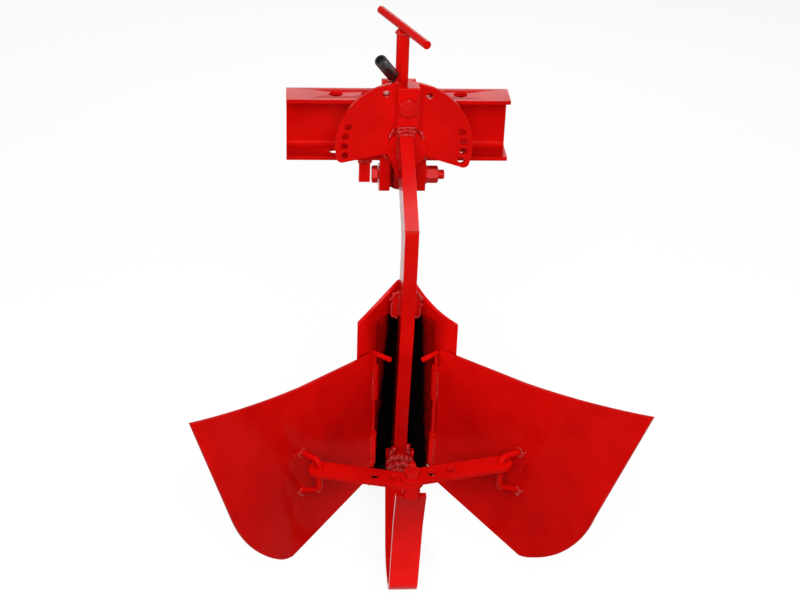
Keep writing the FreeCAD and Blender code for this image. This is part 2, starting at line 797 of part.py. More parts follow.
def gusset(side, word):
    start = D.shank_thick / 2
    body = start_body("gusset_" + word)
    profile = add_sketch(body, "gusset_profile_" + word, "XZ_Plane")
    corners = [(start, D.gusset_low_z), (start, D.gusset_top_z),
               (D.gusset_reach, D.gusset_top_z),
               (D.gusset_reach, D.gusset_low_z)]
    draw_path(profile, [(side * x, z) for x, z in corners])
    add_pad(body, profile, D.gusset_thick, "One side")
    place(body, 0, D.gusset_y, 0)
    return piece(body, "gusset_" + word)


def share():
    """Pointed share: two raked blades that meet at the tip."""
    blades = []
    gap = D.weld_gap
    for side, word in ((-1, "left"), (1, "right")):
        body = start_body("share_" + word)
        top = D.breast_low_z - gap
        prow = prow_y(D.breast_low_z)
        skew = length_of(D.share_rear_x, prow - D.share_rear_y)
        wall = D.share_thick * skew / D.share_rear_x
        upper = add_sketch(body, "share_top_" + word, "XY_Plane", top)
        corners = [(gap, prow), (D.share_rear_x, D.share_rear_y),
                   (D.share_rear_x, D.share_rear_y - wall),
                   (gap, prow - wall)]
        draw_path(upper, [(side * x, y) for x, y in corners])
        skew = length_of(D.sole_half, D.tip_y - D.sole_y)
        wall = D.share_thick * skew / D.sole_half
        lower = add_sketch(body, "share_sole_" + word, "XY_Plane",
                           D.ground_z)
        corners = [(gap, D.tip_y), (D.sole_half, D.sole_y),
                   (D.sole_half, D.sole_y - wall), (gap, D.tip_y - wall)]
        draw_path(lower, [(side * x, y) for x, y in corners])
        loft = body.newObject("PartDesign::AdditiveLoft",
                              "share_loft_" + word)
        loft.Profile = upper
        loft.Sections = [lower]
        loft.Ruled = True
        place(body, 0, 0, 0)
        blades.append(piece(body, "share_" + word))
    return blades


def heel_skid():
    """Flat bar bent into a skid from the shank's foot up to the straps."""
    body = start_body("heel")
    sole_z = D.ground_z + D.heel_thick
    bend = (D.heel_bend_y, D.heel_bend_z)
    front, rear = (D.heel_front_y, sole_z), (D.heel_rear_y, sole_z)
    knee = (D.heel_leg_y, D.heel_leg_z)
    spine = add_sketch(body, "heel_spine", "YZ_Plane")
    draw_path(spine, [
        (D.heel_top_y, D.foot_z),
        bend, *rounded(bend, front, rear, D.heel_front_radius),
        *rounded(front, rear, knee, D.heel_rear_radius),
        knee, (D.heel_end_y, D.heel_end_z)], closed=False)
    section = add_sketch(body, "heel_section", "XY_Plane", D.foot_z)
    half = D.heel_width / 2
    outer = D.heel_top_y + D.heel_thick
    draw_path(section, [
        (-half, D.heel_top_y), (half, D.heel_top_y), (half, outer),
        (-half, outer)])
    sweep = body.newObject("PartDesign::AdditivePipe", "heel_sweep")
    sweep.Profile = section
    sweep.Spine = (spine, [])
    sweep.Transition = "Right corner"
    trim = add_sketch(body, "heel_trim", "YZ_Plane")
    spread = D.trim_margin
    draw_path(trim, [
        (D.heel_end_y - spread, BOSS_LOW_Z),
        (D.heel_end_y + spread, BOSS_LOW_Z),
        (D.heel_end_y + spread, D.heel_end_z + spread),
        (D.heel_end_y - spread, D.heel_end_z + spread)])
    add_cut(body, trim)
    place(body, 0, 0, 0)
    return piece(body, "heel_skid")


def centre_bolt():
    """Boss and nut that clamp the two straps on the heel's rear leg.

    The stretch of bolt inside the straps is left out: they slide there.
    """
    seat = D.strap_seat_z - D.face_gap
    piece(rod("boss_rod", (0, D.centre_y, BOSS_LOW_Z), D.boss_radius,
              seat - BOSS_LOW_Z), "strap_boss")
    base = STRAP_TOP_Z + D.face_gap
    nut = hexagon("centre_nut_blank", (0, D.centre_y, base),
                  D.centre_nut_flats, D.centre_nut_depth, 90)
    end = rod("centre_thread", (0, D.centre_y, base),
              D.centre_thread_radius,
              D.centre_nut_depth + D.centre_thread_top)
    piece(fuse("centre_nut_solid", nut, end), "centre_nut")


def wing_frame(item, side, z=0):
    """Stand an item at a hinge axis, its local X running out along a wing."""
    yaw = D.wing_flare - 90 if side > 0 else 270 - D.wing_flare
    place(item, side * D.hinge_x, D.hinge_y, z, yaw=yaw)


def hinge_pin(side, word):
    x = side * D.hinge_x
    top, low = D.hinge_pin_top_z, D.hinge_pin_low_z
    pin = rod("hinge_rod_" + word, (x, D.hinge_y, low), D.hinge_pin_radius,
              top - low)
    yaw = D.handle_yaw if side > 0 else -180 - D.handle_yaw
    handle = rod("hinge_handle_" + word, (x, D.hinge_y, top),
                 D.hinge_pin_radius, D.handle_length, yaw, 90)
    elbow = ball("hinge_elbow_" + word, (x, D.hinge_y, top),
                 D.hinge_pin_radius)
    return piece(fuse("hinge_pin_solid_" + word, pin, handle, elbow),
                 "hinge_pin_" + word)


def hinge_to_breast(z):
    """From a hinge axis to the breast's inner face, square to the wing."""
    normal_x = prow_y(z) - D.breast_rear_y
    normal_y = D.breast_rear_x
    gap_x = D.breast_rear_x - D.hinge_x
    gap_y = D.breast_rear_y - D.hinge_y
    reach = gap_x * normal_x + gap_y * normal_y
    slant = cosine(D.wing_flare) * normal_x + sine(D.wing_flare) * normal_y
    return reach / slant


def hinge_lug(name, side, base, panel):
    """A breast-side hinge plate: an eye round the pin and a short tail."""
    body = start_body(name + "_eye")
    profile = add_sketch(body, name + "_profile", "XY_Plane")
    radius = D.hinge_lug_radius
    bend = radius * side
    face = (hinge_to_breast(base) + D.breast_thick / 2) * side
    draw_path(profile, [
        (-radius, 0), (0, -bend, bend), (radius, 0, bend),
        (radius, face), (-radius, face)])
    draw_circle(profile, 0, 0, D.hinge_pin_radius + D.running_gap)
    add_pad(body, profile, D.lug_plate)
    wing_frame(body, side, base)
    return piece(cut(name + "_solid", body, panel), name)


def hinge_lugs(side, word, panel):
    high = D.barrel_top_z + D.lug_play
    low = D.low_barrel_top_z + D.lug_play
    hinge_lug("upper_hinge_lug_" + word, side, high, panel)
    hinge_lug("lower_hinge_lug_" + word, side, low, panel)


def wing(side, word):
    """A flat wing. The two are cut by hand and differ a little."""
    body = start_body("wing_" + word)
    rise, drop = D.wing_right_rise, D.wing_right_drop
    spread = D.wing_right_spread
    turn_radius = D.wing_turn_radius
    if side < 0:
        rise, drop = -D.wing_left_sag, D.wing_left_drop
        spread = size(0)
        turn_radius = D.wing_left_turn_radius
    profile = add_sketch(body, "wing_outline_" + word, "XZ_Plane")
    draw_path(profile, [
        (D.wing_root, D.wing_heel_z - drop),
        (D.wing_low_reach, D.wing_low_z - drop),
        (D.wing_turn_reach, D.wing_turn_z - drop / 2, D.wing_low_radius),
        (D.wing_toe_reach + spread, D.wing_toe_z, turn_radius),
        (D.wing_reach + spread, D.wing_tip_z + rise),
        (D.wing_rise_reach, D.wing_rise_z + rise, -D.wing_crest_radius),
        (D.wing_root, D.wing_root_z + rise)])
    add_pad(body, profile, D.wing_thick, "Symmetric")
    wing_frame(body, side)
    return piece(body, "wing_" + word)


def barrels(side, word):
    """The two hinge barrels welded to the root edge of a wing."""
    solids = []
    for label, radius, top, low in (
            ("high", D.barrel_radius, D.barrel_top_z, D.barrel_low_z),
            ("low", D.low_barrel_radius, D.low_barrel_top_z,
             D.low_barrel_low_z)):
        spot = (side * D.hinge_x, D.hinge_y, low)
        name = "barrel_%s_%s" % (label, word)
        tube = rod(name + "_blank", spot, radius, top - low)
        bore = rod(name + "_bore", spot,
                   D.hinge_pin_radius + D.running_gap, top - low)
        solids.append(cut(name + "_tube", tube, bore))
    piece(fuse("barrels_solid_" + word, *solids), "hinge_barrels_" + word)


def staple(side, word, plate):
    """Round-rod loop on the back of a wing that carries the strap.

    The right one is bent askew, so its feet sit further out.
    """
    body = start_body("staple_" + word)
    skew, lift = D.staple_right_skew, D.staple_right_lift
    if side < 0:
        skew, lift = size(0), size(0)
    stand = D.staple_stand / cosine(skew)
    start = (D.staple_foot, STAPLE_ROOT_Z)
    end = (D.staple_foot, D.staple_wing_low_z)
    high, low = (stand, STAPLE_TOP_Z), (stand, D.staple_low_z)
    spine = add_sketch(body, "staple_spine_" + word, "XZ_Plane")
    draw_path(spine, [
        start, *rounded(start, high, low, D.staple_bend),
        *rounded(high, low, end, D.staple_bend), end], closed=False)
    section = add_sketch(body, "staple_section_" + word, "YZ_Plane",
                         D.staple_foot)
    draw_circle(section, 0, STAPLE_ROOT_Z, D.staple_radius)
    sweep = body.newObject("PartDesign::AdditivePipe", "staple_sweep_" + word)
    sweep.Profile = section
    sweep.Spine = (spine, [])
    yaw = D.wing_flare - 180 - skew if side > 0 else 360 - D.wing_flare
    reach = D.staple_reach + D.staple_stand * sine(skew) / cosine(skew)
    foot_x = D.hinge_x + reach * sine(D.wing_flare)
    foot_y = D.hinge_y - reach * cosine(D.wing_flare)
    place(body, side * foot_x, foot_y, lift, yaw=yaw)
    return piece(cut("staple_solid_" + word, body, plate),
                 "staple_" + word)


def staple_spot(side):
    """Where a staple's upright stands, as (x, y)."""
    x = (D.hinge_x + D.staple_reach * sine(D.wing_flare)
         - D.staple_stand * cosine(D.wing_flare))
    y = (D.hinge_y - D.staple_reach * cosine(D.wing_flare)
         - D.staple_stand * sine(D.wing_flare))
    return side * x, y


def strap(side, word, base):
    """Flat bar from a staple to the centre bolt, with spare holes."""
    x, y = staple_spot(side)
    across = side * x
    reach = length_of(across, y - D.centre_y)
    body = start_body("strap_" + word)
    outline = add_sketch(body, "strap_outline_" + word, "XY_Plane")
    half = D.strap_width / 2
    draw_path(outline, [
        (-half, 0, half), (0, -half, half), (reach, -half),
        (reach + half, 0, half), (reach, half, half), (0, half)])
    draw_circle(outline, 0, 0, D.staple_radius + D.strap_eye_play)
    pitch = D.strap_right_pitch if side > 0 else D.strap_hole_pitch
    for step in range(3):
        draw_circle(outline, reach - step * pitch, 0,
                    D.strap_hole_radius)
    add_pad(body, outline, D.strap_thick)
    sweep = turn_of(y - D.centre_y, across)
    yaw = 180 + sweep if side > 0 else -sweep
    place(body, x, y, base, yaw=yaw)
    return piece(body, "strap_" + word)


def check(item):
    """Stop on any failed object or sub-part before files are written."""
    if "Invalid" in item.State or "Error" in item.State:
        raise RuntimeError("%s failed: %s" % (item.Name, item.State))


def build():
    toolbar_channel()
    hitch_tongue()
    side_lug()
    mouth_plate()
    pitch_bolt()
    cheek("left", CLEVIS_LEFT)
    cheek("right", CLEVIS_RIGHT)
    yoke_plate()
    hub_pin()
    screw_bridge()
    tee_screw()
    plunger()
    sector_plate()
    arm_block(shank())
    hub_ring()
    share()
    heel_skid()
    centre_bolt()
    for side, word, brow_radius in ((-1, "left", D.brow_left_radius),
                                    (1, "right", D.brow_right_radius)):
        panel = breast(side, word, brow_radius)
        frog(side, word)
        gusset(side, word)
        hinge_lugs(side, word, panel)
        hinge_pin(side, word)
        staple(side, word, wing(side, word))
        barrels(side, word)
    strap(-1, "left", D.strap_seat_z)
    strap(1, "right", D.strap_seat_z + D.strap_thick + D.strap_gap)


build()
doc.recompute()
for item in doc.Objects:
    check(item)
for item in PIECES:
    if item.Shape.isNull() or not item.Shape.isValid():
        raise RuntimeError("%s has no valid shape" % item.Label)
os.makedirs("parts", exist_ok=True)
for item in PIECES:
    item.Shape.exportStep("parts/%s.step" % item.Label)
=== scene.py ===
import json
import math

import bmesh
import bpy
from mathutils import Matrix, Vector


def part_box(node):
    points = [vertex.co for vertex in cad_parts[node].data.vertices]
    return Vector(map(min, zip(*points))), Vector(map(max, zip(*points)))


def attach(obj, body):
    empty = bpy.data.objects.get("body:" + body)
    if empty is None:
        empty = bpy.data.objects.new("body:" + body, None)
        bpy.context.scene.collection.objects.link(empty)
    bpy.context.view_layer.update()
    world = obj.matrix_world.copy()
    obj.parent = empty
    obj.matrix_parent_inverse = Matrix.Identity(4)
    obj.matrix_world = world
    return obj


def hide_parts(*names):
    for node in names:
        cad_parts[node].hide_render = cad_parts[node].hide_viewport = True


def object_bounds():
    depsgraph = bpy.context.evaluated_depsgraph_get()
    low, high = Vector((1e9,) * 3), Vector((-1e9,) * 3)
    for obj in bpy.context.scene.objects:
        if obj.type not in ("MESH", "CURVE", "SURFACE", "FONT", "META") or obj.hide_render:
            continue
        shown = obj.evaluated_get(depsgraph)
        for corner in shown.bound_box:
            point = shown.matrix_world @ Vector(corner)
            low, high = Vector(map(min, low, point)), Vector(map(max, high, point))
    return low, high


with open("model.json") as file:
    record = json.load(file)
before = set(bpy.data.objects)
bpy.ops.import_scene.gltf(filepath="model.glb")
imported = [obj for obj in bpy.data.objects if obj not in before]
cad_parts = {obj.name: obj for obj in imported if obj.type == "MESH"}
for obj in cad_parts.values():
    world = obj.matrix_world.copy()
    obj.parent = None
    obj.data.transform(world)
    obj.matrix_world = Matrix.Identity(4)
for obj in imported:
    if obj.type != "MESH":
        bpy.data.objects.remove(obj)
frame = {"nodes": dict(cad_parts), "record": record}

CAD_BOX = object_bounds()
MM = 0.001
NODES = frame["nodes"]
RECORD = frame["record"]
BODY = {node: name for name, members in
        RECORD["behaviour"]["bodies"].items() for node in members}
SLOT = {row["node"]: row["material_slot"] for row in RECORD["subparts"]}
JOINT_AT = {joint["name"]: Vector(joint["pos_m"]) / MM
            for joint in RECORD["behaviour"]["joints"]}
HUB = JOINT_AT["sector_swivel"]       # swivel centre, in mm

BOLT_SMOOTH = 28.0                    # degrees up to which an edge is soft
BAR_SMOOTH = 25.0
GRIP_SMOOTH = 45.0
BEAD_SMOOTH = 60.0


def at_hub(x, y, z):
    """A point given in millimetres from the swivel centre, in metres."""
    return (HUB + Vector((x, y, z))) * MM


def from_hub(joint):
    """Where a joint lies, in millimetres from the swivel centre."""
    return JOINT_AT[joint] - HUB


def up(height):
    """A step straight up."""
    return Vector((0, 0, height))


# ------------------------------------------------------------- materials

class Finish:
    """A node material under construction, with short ways to add nodes."""

    def __init__(self, name):
        self.material = bpy.data.materials.new(name)
        self.material.use_nodes = True
        self.tree = self.material.node_tree
        self.shader = self.tree.nodes["Principled BSDF"]
        self.place = self.add("ShaderNodeTexCoord").outputs["Object"]

    def add(self, kind):
        """A new node of the material."""
        return self.tree.nodes.new(kind)

    def link(self, source, target):
        """Join an output to an input."""
        self.tree.links.new(source, target)

    def drive(self, name, source):
        """Lead a pattern into a socket of the shader."""
        self.link(source, self.shader.inputs[name])

    def fix(self, name, value):
        """Set a socket of the shader that is the same all over."""
        self.shader.inputs[name].default_value = value

    def noise(self, scale, detail, rough):
        """A cloudy pattern between 0 and 1."""
        node = self.add("ShaderNodeTexNoise")
        node.inputs["Scale"].default_value = scale
        node.inputs["Detail"].default_value = detail
        node.inputs["Roughness"].default_value = rough
        self.link(self.place, node.inputs["Vector"])
        return node.outputs["Fac"]

    def span(self, factor, low, high, to_low=0, to_high=1):
        """The stretch of a pattern from low to high, set to new ends."""
        node = self.add("ShaderNodeMapRange")
        self.link(factor, node.inputs["Value"])
        for key, value in (("From Min", low), ("From Max", high),
                           ("To Min", to_low), ("To Max", to_high)):
            node.inputs[key].default_value = value
        return node.outputs["Result"]

    def mix(self, factor, first, second):
        """One colour where the pattern is 0 and another where it is 1."""
        node = self.add("ShaderNodeMix")
        node.data_type = "RGBA"
        self.link(factor, node.inputs["Factor"])
        for key, value in (("A", first), ("B", second)):
            socket = [s for s in node.inputs
                      if s.name == key and s.type == "RGBA"][0]
            if isinstance(value, tuple):
                socket.default_value = (*value, 1.0)
            else:
                self.link(value, socket)
        return [s for s in node.outputs if s.type == "RGBA"][0]

    def math(self, operation, first, second=None):
        """A sum or a product of patterns and numbers."""
        node = self.add("ShaderNodeMath")
        node.operation = operation
        for socket, value in zip(node.inputs, (first, second)):
            if isinstance(value, (int, float)):
                socket.default_value = value
            elif value is not None:
                self.link(value, socket)
        return node.outputs[0]

    def bump(self, height, strength, distance, below=None):
        """Relief from a pattern, on top of the relief below it."""
        node = self.add("ShaderNodeBump")
        node.inputs["Strength"].default_value = strength
        node.inputs["Distance"].default_value = distance
        self.link(height, node.inputs["Height"])
        if below is not None:
            self.link(below, node.inputs["Normal"])
        return node.outputs["Normal"]


def enamel(name, bright, dull, chip, rough, ior, peel):
    """Brushed or dipped enamel: orange peel, slow waviness, chips."""
    made = Finish(name)
    cloud = made.span(made.noise(22, 3, 0.55), 0.35, 0.68)
    tint = made.mix(cloud, bright, dull)
    speck = made.span(made.noise(210, 4, 0.7), 0.735, 0.76)
    made.drive("Base Color", made.mix(speck, tint, chip))
    haze = made.span(made.noise(60, 4, 0.6), 0.3, 0.75,
                     to_low=rough * 0.8, to_high=rough * 1.35)
    made.drive("Roughness", haze)
    waves = made.bump(made.noise(14, 2, 0.5), strength=0.12,
                      distance=0.0012)
    skin = made.bump(made.noise(420, 2, 0.5), strength=peel,
                     distance=0.00012, below=waves)
    made.drive("Normal", skin)
    made.fix("IOR", ior)
    return made.material


def weld_enamel():
    """Paint over lumpy weld metal, with a few bright pink specks that are painted glints.
    """
    made = Finish("red_weld")
    cloud = made.span(made.noise(160, 3, 0.6), 0.35, 0.7)
    tint = made.mix(cloud, (0.62, 0.005, 0.004), (0.42, 0.004, 0.003))
    # painted glints: bright pink specks that stand in for highlights on the weld lumps
    painted_glints = made.span(made.noise(420, 3, 0.6), 0.66, 0.74)
    made.drive("Base Color", made.mix(painted_glints, tint, (0.90, 0.36, 0.30)))
    made.drive("Roughness", made.span(painted_glints, 0, 1, to_low=0.10,
                                      to_high=0.25))
    made.drive("Normal", made.bump(made.noise(700, 3, 0.6), strength=0.5,
                                   distance=0.0003))
    made.fix("IOR", 1.3)
    return made.material


def plating_with_painted_reflection():
    """Dull zinc plate tinted pink as a painted reflection of the red paint round it, with
    a few rusty specks.
    """
    made = Finish("zinc_plate")
    cloud = made.span(made.noise(120, 4, 0.6), 0.3, 0.7)
    # the pink tint is painted reflection of the red paint nearby
    tint = made.mix(cloud, (0.74, 0.36, 0.32), (0.50, 0.20, 0.17))
    rust = made.span(made.noise(380, 3, 0.7), 0.70, 0.76)
    made.drive("Base Color", made.mix(rust, tint, (0.30, 0.10, 0.05)))
    made.drive("Roughness", made.span(cloud, 0, 1, to_low=0.28,
                                      to_high=0.48))
    made.drive("Normal", made.bump(made.noise(900, 2, 0.5), strength=0.2,
                                   distance=0.00008))
    made.fix("Metallic", 1.0)
    return made.material


def moulded(name, bright, dull, rough, ior):
    """Black moulded plastic or satin paint with a fine grain."""
    made = Finish(name)
    cloud = made.span(made.noise(90, 3, 0.6), 0.3, 0.7)
    made.drive("Base Color", made.mix(cloud, bright, dull))
    haze = made.span(made.noise(150, 3, 0.6), 0.3, 0.7,
                     to_low=rough * 0.8, to_high=rough * 1.25)
    made.drive("Roughness", haze)
    made.drive("Normal", made.bump(made.noise(800, 2, 0.5), strength=0.25,
                                   distance=0.0001))
    made.fix("IOR", ior)
    return made.material


def liner_with_painted_shade(name, red, black):
    """Black liner with a dim red outer part fading into the black towards the prow; the
    dim red and its fade are painted shade inside the V.
    """
    lean, black_until, red_from, ragged_by = 0.055, 0.008, 0.014, 0.002
    made = Finish(name)
    axes = made.add("ShaderNodeSeparateXYZ")
    made.link(made.place, axes.inputs["Vector"])
    across = made.math("ABSOLUTE", made.math(
        "SUBTRACT", axes.outputs["X"], HUB.x * MM))
    fall = made.math("MULTIPLY", axes.outputs["Z"], lean)
    edge = made.math("ADD", across, fall)
    ragged = made.span(made.noise(60, 3, 0.6), 0.3, 0.7,
                       to_low=-ragged_by, to_high=ragged_by)
    edge = made.math("ADD", edge, ragged)
    # painted shade inside the V: dim red further out, fading into black towards the prow
    shaded_red_part = made.span(edge, black_until, red_from)
    made.drive("Base Color", made.mix(shaded_red_part, black, red))
    made.fix("Roughness", 0.5)
    made.fix("Specular IOR Level", 0.0)
    made.drive("Normal", made.bump(made.noise(500, 2, 0.5), strength=0.2,
                                   distance=0.0001))
    return made.material


RED_CHIP = (0.42, 0.012, 0.009)
RED = enamel("red_enamel", bright=(0.74, 0.0042, 0.0028),
             dull=(0.64, 0.003, 0.002), chip=RED_CHIP,
             rough=0.13, ior=1.09, peel=0.08)
RED_SHEET = enamel("red_sheet_enamel", bright=(0.72, 0.0042, 0.0028),
                   dull=(0.62, 0.003, 0.002), chip=RED_CHIP,
                   rough=0.15, ior=1.05, peel=0.08)
RED_BOLT = enamel("red_bolt_enamel", bright=(0.74, 0.008, 0.006),
                  dull=(0.60, 0.004, 0.003), chip=(0.55, 0.30, 0.25),
                  rough=0.20, ior=1.15, peel=0.2)
WELD = weld_enamel()
ZINC = plating_with_painted_reflection()
BLACK = moulded("black_enamel", bright=(0.010, 0.0035, 0.004),
                dull=(0.005, 0.002, 0.0025), rough=0.5, ior=1.2)
SHARE_BLACK = moulded("black_share", bright=(0.006, 0.0022, 0.0026),
                      dull=(0.003, 0.0014, 0.0016), rough=0.85, ior=1.02)
GRIP = moulded("black_grip", bright=(0.012, 0.010, 0.010),
               dull=(0.006, 0.005, 0.005), rough=0.26, ior=1.5)
# the liner's dim red and its fade into black are painted shade inside the V
LINER = liner_with_painted_shade("black_liner", red=(0.30, 0.003, 0.002),
                     black=(0.004, 0.002, 0.0022))
MAROON = enamel("dark_rod", bright=(0.030, 0.002, 0.002),
                dull=(0.018, 0.001, 0.001), chip=(0.2, 0.1, 0.08),
                rough=0.35, ior=1.4, peel=0.3)

FINISH_OF_SLOT = {"red_paint": RED, "black_paint": BLACK,
                  "zinc_steel": ZINC, "black_plastic": GRIP}
FINISH_OF_NODE = {"plunger_lever": MAROON,
                  "frog_left": LINER, "frog_right": LINER,
                  "share_left": SHARE_BLACK, "share_right": SHARE_BLACK,
                  "wing_left": RED_SHEET, "wing_right": RED_SHEET}


# ---------------------------------------------------------------- pieces

def new_piece(name, mesh, material, body, smooth_angle):
    """Link a finished mesh as a piece that rides on a body."""
    mesh.materials.clear()
    mesh.materials.append(material)
    for face in mesh.polygons:
        face.use_smooth = True
        face.material_index = 0
    mesh.set_sharp_from_angle(angle=math.radians(smooth_angle))
    thing = bpy.data.objects.new(name, mesh)
    bpy.context.scene.collection.objects.link(thing)
    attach(thing, body)
    return thing


def stand_in(node, mesh, material, smooth_angle):
    """A better shape that takes the place of a CAD node."""
    piece = new_piece(node + "_shape", mesh, material, BODY[node],
                      smooth_angle)
    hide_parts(node)


def evaluated(thing):
    """The plain mesh that an object's modifiers give."""
    graph = bpy.context.evaluated_depsgraph_get()
    return bpy.data.meshes.new_from_object(
        thing.evaluated_get(graph), preserve_all_data_layers=False,
        depsgraph=graph)


def eased(node, width):
    """A CAD node with its sharp edges rounded over, in its own place."""
    same_spot, flat_angle, sharp_angle = 2e-6, 0.6, 33.0
    mesh = NODES[node].data.copy()
    work = bmesh.new()
    work.from_mesh(mesh)
    bmesh.ops.remove_doubles(work, verts=work.verts, dist=same_spot)
    bmesh.ops.dissolve_limit(work, angle_limit=math.radians(flat_angle),
                             verts=work.verts, edges=work.edges)
    work.to_mesh(mesh)
    work.free()
    thing = bpy.data.objects.new(node + "_work", mesh)
    bpy.context.scene.collection.objects.link(thing)
    edge = thing.modifiers.new("eased", "BEVEL")
    edge.width = width * MM
    edge.segments = 2
    edge.limit_method = "ANGLE"
    edge.angle_limit = math.radians(sharp_angle)
    edge.use_clamp_overlap = False
    edge.miter_outer = "MITER_ARC"
    rounded = evaluated(thing)
    bpy.data.objects.remove(thing)
    finish = FINISH_OF_NODE.get(node, FINISH_OF_SLOT[SLOT[node]])
    stand_in(node, rounded, finish, BAR_SMOOTH)


# ------------------------------------------------- weld beads and spatter

def group_input(tree, name, kind, value=None):
    """A named input of a node group, with its default."""
    socket = tree.interface.new_socket(name, in_out="INPUT",
                                       socket_type=kind)
    if value is not None:
        socket.default_value = value
    return socket


def start_tree(name, sizes):
    """A geometry tree with a Geometry input, named sizes and a Paint."""
    tree = bpy.data.node_groups.new(name, "GeometryNodeTree")
    group_input(tree, "Geometry", "NodeSocketGeometry")
    for key, value in sizes.items():
        kind = "NodeSocketInt" if key == "Seed" else "NodeSocketFloat"
        group_input(tree, key, kind, value)
    group_input(tree, "Paint", "NodeSocketMaterial")
    tree.interface.new_socket("Geometry", in_out="OUTPUT",
                              socket_type="NodeSocketGeometry")
    start = tree.nodes.new("NodeGroupInput")
    end = tree.nodes.new("NodeGroupOutput")
    return tree, start.outputs, end.inputs


def random_value(tree, start, low, high, kind="FLOAT"):
    """A random number or vector that follows the tree's seed."""
    node = tree.nodes.new("FunctionNodeRandomValue")
    node.data_type = kind
    live = [s for s in node.inputs if s.enabled]
    for socket, value in zip(live[:2], (low, high)):
        if isinstance(value, bpy.types.NodeSocket):
            tree.links.new(value, socket)
        else:
            socket.default_value = value
    tree.links.new(start["Seed"], node.inputs["Seed"])
    return [s for s in node.outputs if s.enabled][0]


def product(tree, first, second):
    """Two numbers multiplied in a tree."""
    node = tree.nodes.new("ShaderNodeMath")
    node.operation = "MULTIPLY"
    tree.links.new(first, node.inputs[0])
    tree.links.new(second, node.inputs[1])
    return node.outputs[0]


def lay_blobs(tree, start, end, points, scale, rings):
    """Blobs of unit size on the points, made real and painted."""
    unturned, full_turn = (0.0, 0.0, 0.0), (6.28, 6.28, 6.28)
    link = tree.links.new
    blob = tree.nodes.new("GeometryNodeMeshUVSphere")
    blob.inputs["Segments"].default_value = rings * 2
    blob.inputs["Rings"].default_value = rings
    blob.inputs["Radius"].default_value = 1.0
    lay = tree.nodes.new("GeometryNodeInstanceOnPoints")
    link(points, lay.inputs["Points"])
    link(blob.outputs["Mesh"], lay.inputs["Instance"])
    link(scale, lay.inputs["Scale"])
    link(random_value(tree, start, unturned, full_turn, "FLOAT_VECTOR"),
         lay.inputs["Rotation"])
    real = tree.nodes.new("GeometryNodeRealizeInstances")
    link(lay.outputs["Instances"], real.inputs["Geometry"])
    paint = tree.nodes.new("GeometryNodeSetMaterial")
    link(real.outputs["Geometry"], paint.inputs["Geometry"])
    link(start["Paint"], paint.inputs["Material"])
    link(paint.outputs["Geometry"], end["Geometry"])


def weld_bead_tree():
    """Ripples of weld metal along every spline, as thick as its radius."""
    tree, start, end = start_tree("weld_bead", {
        "Pitch": 0.0013, "Wander": 0.25, "Thin": 0.8, "Thick": 1.15,
        "Seed": 3})
    link = tree.links.new
    along = tree.nodes.new("GeometryNodeResampleCurve")
    along.mode = "LENGTH"
    link(start["Geometry"], along.inputs["Curve"])
    link(start["Pitch"], along.inputs["Length"])
    radius = tree.nodes.new("GeometryNodeInputRadius").outputs["Radius"]
    shake = tree.nodes.new("ShaderNodeVectorMath")
    shake.operation = "SCALE"
    link(random_value(tree, start, (-1.0, -1.0, -1.0), (1.0, 1.0, 1.0),
                      "FLOAT_VECTOR"), shake.inputs[0])
    link(product(tree, radius, start["Wander"]), shake.inputs["Scale"])
    move = tree.nodes.new("GeometryNodeSetPosition")
    link(along.outputs["Curve"], move.inputs["Geometry"])
    link(shake.outputs[0], move.inputs["Offset"])
    size = product(tree, radius, random_value(tree, start, start["Thin"],
                                              start["Thick"]))
    lay_blobs(tree, start, end, move.outputs["Geometry"], size, rings=6)
    return tree


def spatter_tree():
    """Small beads of spatter scattered over patches of a surface."""
    tree, start, end = start_tree("weld_spatter", {
        "Density": 20000.0, "Small": 0.0002, "Large": 0.0008, "Seed": 5})
    link = tree.links.new
    scatter = tree.nodes.new("GeometryNodeDistributePointsOnFaces")
    link(start["Geometry"], scatter.inputs["Mesh"])
    link(start["Density"], scatter.inputs["Density"])
    link(start["Seed"], scatter.inputs["Seed"])
    size = random_value(tree, start, start["Small"], start["Large"])
    lay_blobs(tree, start, end, scatter.outputs["Points"], size, rings=4)
    return tree


def grown(name, source, tree, body, **sizes):
    """Run a geometry tree on a curve or mesh and keep its plain mesh."""
    base = bpy.data.objects.new(name + "_base", source)
    bpy.context.scene.collection.objects.link(base)
    grow = base.modifiers.new("grow", "NODES")
    grow.node_group = tree
    for item in tree.interface.items_tree:
        if item.in_out != "INPUT" or item.name == "Geometry":
            continue
        if item.name == "Paint":
            grow[item.identifier] = WELD
        elif item.name in sizes:
            grow[item.identifier] = sizes[item.name]
    mesh = evaluated(base)
    bpy.data.objects.remove(base)
    new_piece(name, mesh, WELD, body, BEAD_SMOOTH)


def beads_of(name, body, runs, tree, seed):
    """Weld beads along runs of (radius, points), in mm from the hub."""
    curve = bpy.data.curves.new(name + "_path", "CURVE")
    curve.dimensions = "3D"
    for radius, points in runs:
        spline = curve.splines.new("POLY")
        spline.points.add(len(points) - 1)
        for dot, spot in zip(spline.points, points):
            dot.co = (*at_hub(*spot), 1.0)
            dot.radius = radius * MM
    grown(name, curve, tree, body, Seed=seed)


def spatter_on(name, body, patches, tree, seed, density):
    """Spatter over flat patches of four corners, in mm from the hub."""
    mesh = bpy.data.meshes.new(name + "_patch")
    corners, faces = [], []
    for patch in patches:
        faces.append([len(corners) + k for k in range(4)])
        corners += [at_hub(*spot) for spot in patch]
    mesh.from_pydata(corners, [], faces)
    grown(name, mesh, tree, body, Seed=seed, Density=density)


def ring_run(centre, axis, radius, start=0.0, turn=360.0):
    """Points of an arc round an axis, in mm, from a level reference."""
    steps = 28
    axis = Vector(axis).normalized()
    side = axis.cross(up(1))
    if side.length < 0.1:
        side = axis.cross(Vector((0, 1, 0)))
    side.normalize()
    other = axis.cross(side)
    points = []
    for k in range(steps + 1):
        angle = math.radians(start + turn * k / steps)
        points.append(Vector(centre) + radius * (
            side * math.cos(angle) + other * math.sin(angle)))
    return points


# --------------------------------------------------- bolts, nuts and grip

